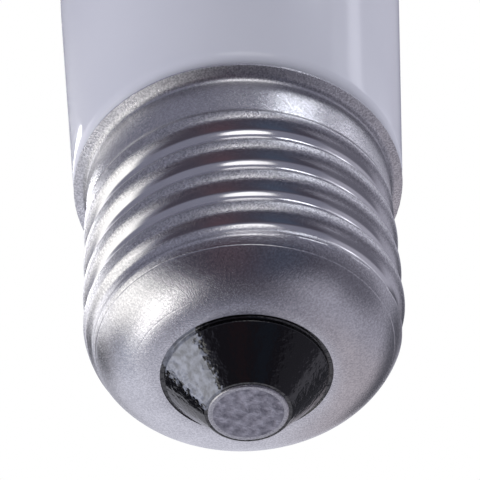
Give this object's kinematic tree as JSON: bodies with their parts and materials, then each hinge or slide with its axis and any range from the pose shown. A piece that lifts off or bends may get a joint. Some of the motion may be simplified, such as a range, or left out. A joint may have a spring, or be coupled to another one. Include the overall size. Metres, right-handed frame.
{
  "type": "halogen bulb",
  "caption": "Halogen bulb with a threaded screw cap, black glass insulator, soldered centre contact and tubular pearl glass outer bulb round a halogen capsule.",
  "frame": {"origin": "centre of the contact face, where the bulb meets the bottom of its holder", "axes": "+Z along the bulb's axis from the contact to the rounded end of the glass; +Y is the side of the lip where the side lead is soldered"},
  "size_m": [0.032, 0.032, 0.1045],
  "materials": {
    "shell_aluminium": "rolled, satin",
    "black_glass": "gloss, opaque",
    "contact_brass": "tinned",
    "solder": "dull, mottled",
    "pearl_glass": "pearl",
    "cement": "matte",
    "clear_glass": "clear",
    "quartz_glass": "clear",
    "tungsten": "drawn wire",
    "lead_wire": "drawn wire",
    "support_steel": "drawn wire",
    "foil_metal": "thin foil"
  },
  "bodies": {
    "root": {"screw_shell": "shell_aluminium", "insulator": "black_glass", "contact_eyelet": "contact_brass", "centre_solder": "solder", "side_solder": "solder", "outer_bulb": "pearl_glass", "cap_cement": "cement", "glass_stem": "clear_glass", "exhaust_tube": "clear_glass", "capsule": "quartz_glass", "filament": "tungsten", "centre_lead": "lead_wire", "side_lead": "lead_wire", "centre_seal_wire": "support_steel", "side_seal_wire": "support_steel", "centre_support_wire": "support_steel", "side_support_wire": "support_steel", "centre_pin": "support_steel", "side_pin": "support_steel", "centre_foil": "foil_metal", "side_foil": "foil_metal"}
  },
  "joints": []
}
